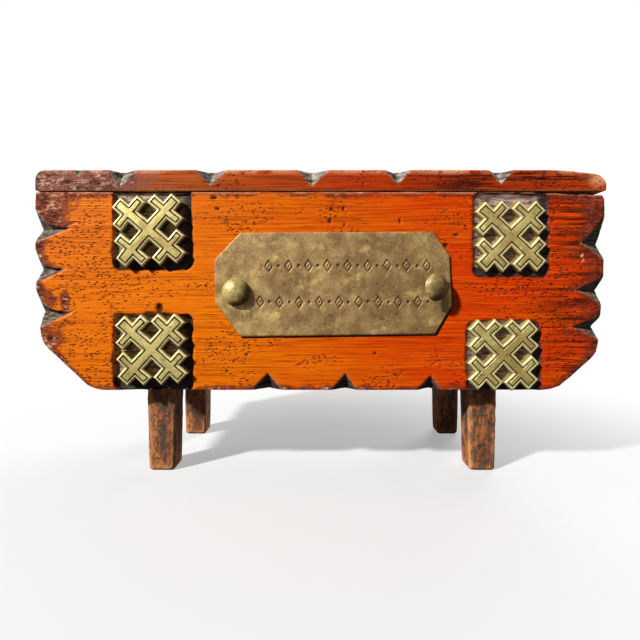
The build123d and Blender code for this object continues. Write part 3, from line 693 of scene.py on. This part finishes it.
def lidBoard():
    # a closed section (slot wall, top, arris, side, underside) carried round the ring; the
    # chips push points off the top front arris until they lie on the two facets
    look, low, high = lidLook, case["lidBottom"], case["lidTop"]
    left, right = case["lidLeft"], case["lidRight"]
    outer, inner = lidRing()
    n = len(outer)
    span = outer - inner
    length = np.hypot(span[:, 0], span[:, 1])[:, None]
    longRound = np.where(outer[:, 1] < 0, look["frontRound"], look["backRound"])
    longRound = (longRound * (1 + 0.4 * ripple(outer[:, 0], outer[:, 1], 8, 8, 31)))[None, :]
    # share of an inset that each station takes in x and in y: all of it at its own edge, and
    # less and less of the other one away from the corner
    middle = np.array([(left + right) / 2, (frontY + backY) / 2])
    half = np.array([right - left, backY - frontY]) / 2
    away = outer - middle
    inward = np.sign(away) * np.clip((np.abs(away) - half + 18.0) / 18.0, 0, 1)
    section = [(inner, high - look["slotEdge"]), (inner + span * (0.35 / length), high)]
    section += [(inner + span * share, high) for share in np.concatenate(
        [np.linspace(0.0, 0.55, 7)[1:], np.linspace(0.62, 0.86, 12)])]
    section += [(outer - inset * inward, high) for inset in look["topInsets"]]
    section += [(outer, high - drop) for drop in look["sideDrops"]]
    section += [(outer - inset * inward, low)
                for inset in (1.0, hingeLook["wide"], hingeLook["wide"] + 0.06)]
    section += [(inner + span * 0.5, low), (inner, low), (inner, (low + high) / 2)]
    points = np.array([np.column_stack([ring, np.full(n, z)]) for ring, z in section])
    x, y, z = points[..., 0], points[..., 1], points[..., 2]  # views: they change the points
    # rounded arris: the corner of the section is pulled in to a quarter circle
    for toEdge, sign, axis, radius in (
            (y - frontY, 1, 1, longRound), (backY - y, -1, 1, longRound),
            (x - left, 1, 0, look["leftRound"]), (right - x, -1, 0, look["rightRound"])):
        for level, up, r in ((high, -1, radius), (low, 1, look["underRound"])):
            a = np.clip(r - toEdge, 0, None)
            b = np.clip(r - (z - level) * up, 0, None)
            far = np.hypot(a, b)
            shrink = np.where(far > r, r / np.maximum(far, 1e-6), 1.0)
            points[..., axis] += sign * a * (1 - shrink)
            z += up * b * (1 - shrink)
    seat = (np.abs(np.abs(x) - hingeLook["middle"]) < hingeLook["half"]) & (
        y > backY - hingeLook["wide"] - 0.02)
    z[seat] = np.maximum(z[seat], low + hingeLook["deep"])
    cut = np.zeros(x.shape)
    for apex, toLeft, toRight, down, back in lidChips:
        beside = x - apex
        near = np.where(beside < 0, -beside / toLeft, beside / toRight) + (
            high - z) / down + (y - frontY) / back
        lack = np.clip(1.0 - near, 0, None)
        y += back * lack / 2
        z -= down * lack / 2
        cut = np.maximum(cut, smooth(lack, 0.02, 0.14))
    top = smooth(z, high - 1.2, high - 0.2)
    z -= look["waviness"] * top * lumps(x, y, 21, 3.2, 33)
    z -= look["sag"] * smooth(x, 88, 114.5) ** 1.5 * smooth(z, low + 1, high - 1)
    frontness = smooth(-(y - frontY), -1.0, 0.0)
    y += frontness * look["frontWaviness"] * lumps(x, z, 12, 1.5, 34)
    y += cut * look["cutRoughness"] * ripple(x, z, 1.3, 1.1, 35)
    np.clip(y, frontY, backY, out=y)
    toEdge = np.minimum.reduce([x - left, right - x, y - frontY, backY - y])
    near = 0.45 + 0.55 * (1 - smooth(toEdge, 0.5, 9.0))
    wear = (0.70 * smooth(-x, 34, 96) + 0.12 * smooth(x, 84, 113)) * near + 0.13 * frontness
    wear = wear + 0.3 * (1 - smooth(toEdge, 0.0, 2.5)) * (1 - frontness)
    paleEdge = smooth(z, high - 2.3, high - 0.8) * smooth(-y, 33.2, 34.2) * (1 - cut)
    paleEdge = paleEdge * (0.35 + 0.65 * ripple(x, y, 17, 40, 36))
    paleEdge = np.clip(paleEdge + 1.3 * np.exp(-((x - 111.0) / 3.2) ** 2 - (
        (z - 118.6) / 2.8) ** 2) * smooth(-y, 28.0, 33.0), 0, 1)
    first, last = ringOf(0, n), ringOf(len(points) - 1, n)
    quads = np.concatenate([gridQuads(len(points), n, wrapColumns=True), np.stack(
        [last, np.roll(last, -1), np.roll(first, -1), first], -1)])
    board = makePiece("carvedLid", points, quads[:, ::-1], [], lidWood, "lid_wood",
                      "lid_board", {"cut": cut, "wear": wear, "rub": paleEdge}, "lid")
    # the underside is shaded flat
    normals = np.empty(len(board.data.polygons) * 3, np.float32)
    board.data.polygons.foreach_get("normal", normals)
    board.data.polygons.foreach_set("use_smooth", normals[2::3] > -0.995)


lidBoard()
print("lid is carved")


# Ornaments: middle x, middle height above the board's bottom, turn in degrees, seed, depth of
# the rear face and thickness
ornaments = {
    "ornament_upper_left": (-66.8, 63.0, 4.5, 61, 2.0, 5.0),
    "ornament_lower_left": (-65.8, 16.3, 2.8, 62, 2.0, 5.0),
    "ornament_upper_right": (75.3, 60.7, 1.0, 63, 1.1, 3.2),
    "ornament_lower_right": (72.3, 14.2, 0.0, 64, 1.1, 3.2),
}
# Section: insets from the outline, each with its height at a thickness of 5
ornamentLook = dict(
    reach=16.95, armWidth=5.9, barInner=7.7, barOuter=12.5, barLength=15.4,
    section=((0.0, 0.0), (0.03, 1.6), (0.07, 3.2), (0.12, 4.1), (0.25, 4.5), (0.5, 4.8),
        (0.75, 4.92), (0.98, 4.94), (1.06, 4.86), (1.14, 4.35), (1.56, 4.33), (1.64, 4.88),
        (1.72, 4.98), (1.9, 5.0)),
)


def crossOutline():
    # corners of a cross with a bar across each arm, anticlockwise, arms along the axes
    a, b = ornamentLook["armWidth"] / 2, ornamentLook["barLength"] / 2
    i, o, e = ornamentLook["barInner"], ornamentLook["barOuter"], ornamentLook["reach"]
    arm = np.array([(a, -a), (i, -a), (i, -b), (o, -b), (o, -a), (e, -a), (e, a), (o, a), (o, b),
                    (i, b), (i, a)])
    turns = [np.array([[c, s], [-s, c]]) for c, s in ((1, 0), (0, 1), (-1, 0), (0, -1))]
    return np.concatenate([arm @ t for t in turns])


def mitred(corners, inset):
    # the outline moved inwards by inset: each corner slides along its own mitre
    forward = np.roll(corners, -1, 0) - corners
    forward /= np.linalg.norm(forward, axis=1)[:, None]
    normal = np.column_stack([-forward[:, 1], forward[:, 0]])
    before = np.roll(normal, 1, 0)
    mitre = (normal + before) / (1 + np.sum(normal * before, axis=1))[:, None]
    return corners + mitre * inset


def castOrnament(name, midX, midZ, turn, seed, rear, thick):
    # rings of the outline: each ring has an inset and a height, from the foot of the wall
    # over the bevel, the flat rim and the incised line to the flat middle
    corners, section = crossOutline(), ornamentLook["section"]
    share = np.linspace(0, 1, 9)[:-1, None]
    rings = []
    for inset, tall in section:
        ring = mitred(corners, inset)
        spread = ring[:, None] * (1 - share) + np.roll(ring, -1, 0)[:, None] * share
        spread = spread.reshape(-1, 2)
        rings.append(np.column_stack([spread, np.full(len(spread), tall)]))
    points = np.array(rings)
    across, up, tall = points[..., 0], points[..., 1], points[..., 2]
    u, v = across.copy(), up.copy()
    top = smooth(tall, 2.5, 4.6)
    across += 0.16 * ripple(u, v, 3.1, 3.1, seed) * top
    up += 0.16 * ripple(u, v, 3.1, 3.1, seed + 10) * top
    worn = smooth(np.hypot(u, v), 8, 17)
    tall -= top * (0.10 * (1 + ripple(u, v, 2.4, 2.4, seed + 20))
                   + 0.35 * worn * lumps(u, v, 6, 6, seed + 30))
    angle = math.radians(45 + turn)
    c, s = math.cos(angle), math.sin(angle)
    x = midX + across * c - up * s
    z = boardBottom + midZ + across * s + up * c
    y = frontY + rear - tall * thick / section[-1][1]
    # painted shade on the walls: a little on all of them, most on those that face down and to the
    # right
    edge = np.roll(corners, -1, 0) - corners
    faceX, faceZ = edge[:, 1] * c + edge[:, 0] * s, edge[:, 1] * s - edge[:, 0] * c
    shaded = smooth((faceX - faceZ) / np.hypot(edge[:, 0], edge[:, 1]) / math.sqrt(2), 0.1, 0.7)
    shaded = np.repeat(0.3 + 0.7 * shaded, len(share))
    wall = 1 - smooth(np.array(section)[:, 1], 3.95, 4.7)
    inset = np.array(section)[:, :1] + 0 * x
    marks = {"groove": (1.1 < inset) & (inset < 1.6), "rim": (0.2 < inset) & (inset < 1.0),
             "wall": wall[:, None] * shaded[None, :]}
    return sweptPiece(name.replace("ornament", "castOrnament").replace("_", "."),
                      np.stack([x, y, z], -1), castBrass, "ornament_brass", name, marks,
                      sharp=30)


# finishes of metal and legs

def oldBrass(name, bright, brown, shine, darkest, metal, gloss, grain=900.0, dents=90.0,
             hazy=0.15, wallDarkness=0.45, gleams=(0.58, 0.74, 0.75)):
    # brass with brown tarnish in broad clouds, fine scratches and small dark pits
    where = newFinish(name, 0.3)
    cloud = noise(where, (dents, dents, dents), 4.0, 0.6)
    fine = noise(where, (grain, grain, grain), 4.0, 0.65)
    drift = remap(axisOf(where, 0), -0.08, 0.08, 0.55)
    tone = clamped(plus(remap(cloud, 0.51 - hazy, 0.51 + hazy), times(drift, 0.7)))
    gleam = noise(where, (180, 180, 180), 3.0, 0.62, (7, 3, 5))
    darkening = noise(where, (210, 210, 260), 4.0, 0.7, (2, 9, 4))
    pitted = times(remap(spots(where, (520, 520, 520)), 0.2, 0.08), remap(cloud, 0.48, 0.6))
    low = clamped(plus(attribute("groove"), pitted))
    wall = attribute("wall")
    colour = layered(
        bright, (tone, brown),
        (remap(fine, 0.50, 0.64, 0.7), brown),
        (remap(fine, 0.46, 0.34, 0.2), shine),
        (remap(gleam, gleams[0], gleams[1], gleams[2]), shine),
        (remap(darkening, 0.58, 0.74, 0.7), darkest),
        (times(attribute("rim"), 0.6), shine),
        # grooves and pits, and on the nails painted shade on the lower right of the dome
        (times(low, 0.85), darkest),
        # darkened walls: painted shade on the ornament sides; on the plate its edges and back are
        # darkened too
        (times(wall, wallDarkness), darkest))
    metallic = times(minus(1.0, maths("MAXIMUM", times(wall, 0.95), low)), metal)
    height = minus(plus(times(fine, 0.4), cloud), times(pitted, 0.6))
    return finished(colour, plus(gloss, times(fine, 0.25)), height, 0.0004, 0.55, metallic)


# the ornament walls are darkened almost to the darkest colour: painted shade
castBrass = oldBrass("castBrass", (214, 197, 124), (174, 150, 86), (244, 234, 172),
                     (34, 24, 12), 0.4, 0.32, wallDarkness=0.95)
plateBrass = oldBrass("plateBrass", (194, 160, 104), (130, 98, 60), (222, 196, 116),
                      (58, 40, 26), 0.3, 0.42, 1300.0, 150.0, 0.26, 0.6, (0.54, 0.80, 0.75))
nailBrass = oldBrass("nailBrass", (196, 176, 106), (126, 104, 56), (230, 214, 156),
                     (36, 24, 12), 0.15, 0.34)
hingeBrass = oldBrass("hingeBrass", (186, 158, 92), (120, 90, 48), (210, 180, 110),
                      (44, 30, 18), 0.7, 0.34)
bradIron = oldBrass("bradIron", (84, 74, 68), (70, 46, 34), (104, 92, 84), (24, 18, 16), 0.5, 0.5)


def oldPaintedLeg(name):
    # weathered brown wood, upright grain, tan where it is rubbed, remains of dark paint
    where = newFinish(name, 0.22)
    fine = noise(where, (560, 560, 90), 4.0, 0.66)
    wide = noise(where, (170, 170, 45))
    blotch = noise(where, (320, 320, 150), 5.0, 0.75)
    speck = noise(where, (900, 900, 700), 3.0, 0.7)
    tone = plus(times(fine, 0.5), times(wide, 0.5))
    colour = layered(
        (196, 122, 74), (remap(tone, 0.38, 0.62), (122, 70, 42)),
        (remap(blotch, 0.46, 0.56, 0.85), (74, 66, 56)),
        (remap(speck, 0.52, 0.66, 0.8), (34, 24, 18)),
        (remap(fine, 0.6, 0.75, 0.8), (30, 18, 12)),
        (times(attribute("rub"), remap(blotch, 0.36, 0.6, 0.2, 1.0)), (214, 148, 92)))
    return finished(colour, remap(tone, 0.3, 0.7, 0.75, 0.5), tone, 0.0006, 0.9)


legWood = oldPaintedLeg("legWood")
for nodeName, facts in ornaments.items():
    castOrnament(nodeName, *facts)
print("ornaments are cast")


def punchedRows(x, height):
    # two rows of struck marks, by turns a lozenge line with a pin dot in it and a larger dot,
    # each a small distance field
    look = plateLook
    depth = np.zeros_like(x)
    for row, start, end in zip(look["rowHeights"], look["rowStarts"], look["rowEnds"]):
        along = (x - start) / look["pitch"]
        number = np.clip(np.round(along), 0, round((end - start) / look["pitch"]))
        sway = 0.22 * ripple(number * 3.7, row + 0 * number, 1, 1, 71)
        dx = (along - number) * look["pitch"] - sway
        dz = height - row - 0.25 * ripple(number * 2.9, row + 0 * number, 1, 1, 72)
        slopeX, slopeZ = look["lozengeSlope"]
        lozenge = np.abs(np.abs(dx) * slopeX + np.abs(dz) * slopeZ - look["lozengeReach"])
        away = np.hypot(dx, dz)
        mark = np.where(number % 2 < 1, np.minimum(lozenge - look["lineHalf"],
                                                   away - look["pin"]), away - look["dot"])
        depth = np.maximum(depth, smooth(-mark, -0.16, 0.14))
    return depth


def brassPlate():
    # grid between the plate's four slanting limits, dented and struck; a rear copy closes it
    look = plateLook
    v, u = np.linspace(0, 1, 150)[:, None], np.linspace(0, 1, 340)[None, :]
    height = look["low"] + look["lowSlope"] * u * (1 - v) + (look["high"] - look["low"]) * v + (
        look["highSlope"] * u * v)
    left = np.interp(height, look["leftHeights"], look["lefts"])
    right = np.interp(height, look["rightHeights"], look["rights"])
    x = left + (right - left) * u
    edge = np.minimum.reduce([x - left, right - x, height - look["low"] - look["lowSlope"] * u,
                              look["high"] + look["highSlope"] * u - height])
    edge = np.clip(edge, 0, look["edgeRound"]) / look["edgeRound"]
    struck = punchedRows(x, height)
    tall = look["thick"] - look["edgeDrop"] * (1 - edge) ** 2 - look["punch"] * struck
    tall -= look["dent"] * lumps(x, height, 6.5, 5.5, 81)
    tall -= 0.05 * lumps(x, height, 1.6, 1.6, 82)
    for midX, midZ, wide, deep in look["hollows"]:
        tall -= deep * np.exp(-((x - midX) ** 2 + (height - midZ) ** 2) / wide**2)
    border = gridBorder(*x.shape)
    front = np.stack([x, frontY - tall, height + boardBottom], -1).reshape(-1, 3)
    rear = front[border]
    rear[:, 1] = frontY + look["rear"]
    rearRing = len(front) + np.arange(len(border))
    marks = {"groove": np.append(struck * 0.8, np.zeros(len(border))),
             "wall": np.append(0 * struck, np.ones(len(border)))}
    quads = np.concatenate([gridQuads(*x.shape), bandQuads(border, rearRing)])
    return makePiece("clippedPlate", np.concatenate([front, rear]), quads, [rearRing[::-1]],
                     plateBrass, "plate_brass", "name_plate", marks)


brassPlate()
print("plate is struck")

# Nails: middle x, middle height, lean in degrees, seed
nails = {"name_plate_nail_left": (-32.9, 38.8, 0.0, 91),
         "name_plate_nail_right": (43.4, 40.7, 30.0, 92)}
nailLook = dict(radius=5.45, dome=3.75, fullness=0.6, shank=1.0, buried=6.0, dent=0.16,
                standOff=1.0, rimReach=5.5)


def domeNail(name, midX, midZ, lean, seed):
    # profile turned round an axis: dome (a cubic Bezier curve), rim, hollow underside and
    # shank; the shank bends back to the plate's normal where the head leans
    look = nailLook
    t = np.linspace(0, 1, 26)
    second, third = 3 * (1 - t) ** 2 * t, 3 * (1 - t) * t**2
    curveR = look["radius"] * ((1 - t) ** 3 + second + third * look["fullness"])
    curveH = look["dome"] * (second * look["fullness"] + third + t**3)
    profileR = np.concatenate([[look["shank"]] * 4, [3.4, 5.0, 5.3], curveR[:-1]])
    profileH = np.concatenate([[-look["buried"], -2.0, -0.6, 0.25], [0.3, 0.12, 0.02],
                               curveH[:-1]])
    turn = np.linspace(0, 2 * np.pi, 97)[:-1]
    r = profileR[:, None]
    side, up = r * np.cos(turn)[None, :], r * np.sin(turn)[None, :]
    h = profileH[:, None] + 0 * side
    h = h - look["dent"] * smooth(h, 0.1, 1.2) * lumps(side, up, 1.9, 1.9, seed)
    side = side + 0.12 * ripple(side, up, 4, 4, seed + 1) * smooth(r, 3, 5)
    angle = math.radians(lean)
    c, s = math.cos(angle), math.sin(angle)
    neck = (look["rimReach"] * s + 0.05) / c  # keeps the low side of the rim off the plate
    out = h + neck
    x = np.where(h < -0.4, side, side * c + out * s)
    y = np.where(h < -0.4, np.where(h < -3, look["buried"], 0.4), side * s - out * c)
    rows, n = side.shape
    face, height = frontY - look["standOff"], boardBottom + midZ
    points = np.stack([midX + x, face + y, height + up + 0 * x], -1).reshape(-1, 3)
    tip = look["dome"] + neck - 0.05
    points = np.append(points, [[midX + tip * s, face - tip * c, height]], axis=0)
    last = ringOf(rows - 1, n)
    fan = [[a, b, rows * n] for a, b in zip(last, np.roll(last, -1))]
    # painted shade: the outer part of the dome darker on its lower right side
    rimShade = smooth(np.hypot(side, up) / look["radius"], 0.45, 0.95) * smooth(side - up, 0.0, 4.5)
    return makePiece(name.replace("name_plate_nail_", "domeNail."), points,
                     gridQuads(rows, n, wrapColumns=True), fan + [ringOf(0, n)[::-1]], nailBrass,
                     "nail_brass", name,
                     {"groove": np.append(rimShade, 0.0), "wall": np.zeros(len(points))}, sharp=60)


for nodeName, facts in nails.items():
    domeNail(nodeName, *facts)
print("nails are driven")

# Legs: middle x, middle y, seed
legs = {"front_left_leg": (-65.5, -21.577, 101), "front_right_leg": (67.5, -21.577, 102),
        "rear_left_leg": (-65.5, 26.423, 103), "rear_right_leg": (67.5, 26.423, 104)}
legLook = dict(topWidth=12.0, footWidth=10.7, rounding=0.7, height=35.0, footRound=0.7,
               tenon=3.8, tenonHeights=(36.0, 43.6, 43.95), tenonTaper=0.96)


def taperedLeg(name, midX, midY, seed):
    # rounded square section carried up the leg, its width and rounding changing with height;
    # above the shoulder the section becomes the round tenon
    look, high = legLook, legLook["height"]
    z = np.concatenate([[0.0, 0.15, 0.4, 0.8, 1.3, 2.0], np.linspace(2.8, 34.6, 54), [high]])
    side = np.linspace(-1, 1, 13)[:-1]
    one = np.ones(len(side))
    unit = np.concatenate([np.stack(pair, -1) for pair in (
        (side, -one), (one, side), (-side, one), (-one, -side))])
    half = 0.5 * (look["footWidth"] + (look["topWidth"] - look["footWidth"]) * z / high)
    r = (look["rounding"] + 0.7 * (1 - smooth(z, 0, 6)))[:, None, None]
    flat = unit[None] * half[:, None, None]
    core = np.clip(np.abs(flat) - (half[:, None, None] - r), 0, None)
    far = np.hypot(core[..., 0], core[..., 1])[..., None]
    shrink = np.where(far > r, r / np.maximum(far, 1e-6), 1.0)
    flat = np.sign(flat) * (np.abs(flat) - core * (1 - shrink))
    foot = look["footRound"] * (1 - smooth(z, 0, 1.2)) ** 2
    flat = flat * (1 - foot / half)[:, None, None]
    x, y = flat[..., 0], flat[..., 1]
    tall = z[:, None] + 0 * x
    around = np.arctan2(y, x) * 6
    nick = 0.16 * lumps(around, tall, 1.3, 9, seed) + 0.22 * smooth(
        np.hypot(x, y), 7.0, 7.9) * lumps(around, tall, 2.5, 3.0, seed + 5)
    nick = nick * smooth(tall, -0.5, 0.6)
    x, y = x * (1 - nick / 6), y * (1 - nick / 6)
    corner = smooth(np.hypot(x, y) / half[:, None], 1.14, 1.3)
    tenon = unit / np.linalg.norm(unit, axis=1)[:, None] * look["tenon"]
    tops = np.array([np.column_stack([tenon, np.full(len(unit), level)])
                     for level in (high, *look["tenonHeights"])])
    tops[-1, :, :2] *= look["tenonTaper"]
    points = np.concatenate([np.stack([x, y, tall], -1), tops])
    points += (midX, midY, 0.0)
    rub = np.maximum(corner, 1 - smooth(tall, 0.6, 3.5))
    rub = np.append(rub, np.zeros((len(tops), len(unit))), axis=0)
    return sweptPiece(name.replace("_", "."), points, legWood, "leg_wood", name,
                      {"rub": rub}, sharp=50)


for nodeName, facts in legs.items():
    taperedLeg(nodeName, *facts)
print("legs are set")

# CAD nodes that stay: each takes the finish of its own kind, and the hinges theirs
keptFinishes = dict(
    left_end_board=caseWood, right_end_board=caseWood, bottom_board=bareWood,
    leg_wedges=bareWood, front_board_brads=bradIron, back_board_brads=bradIron,
)
for nodeName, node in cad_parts.items():
    if node.hide_render:
        continue
    finish = keptFinishes.get(nodeName, hingeBrass)
    for slot in node.material_slots:
        slot.material = finish
    if not node.material_slots:
        node.data.materials.append(finish)
print("kept nodes are finished")
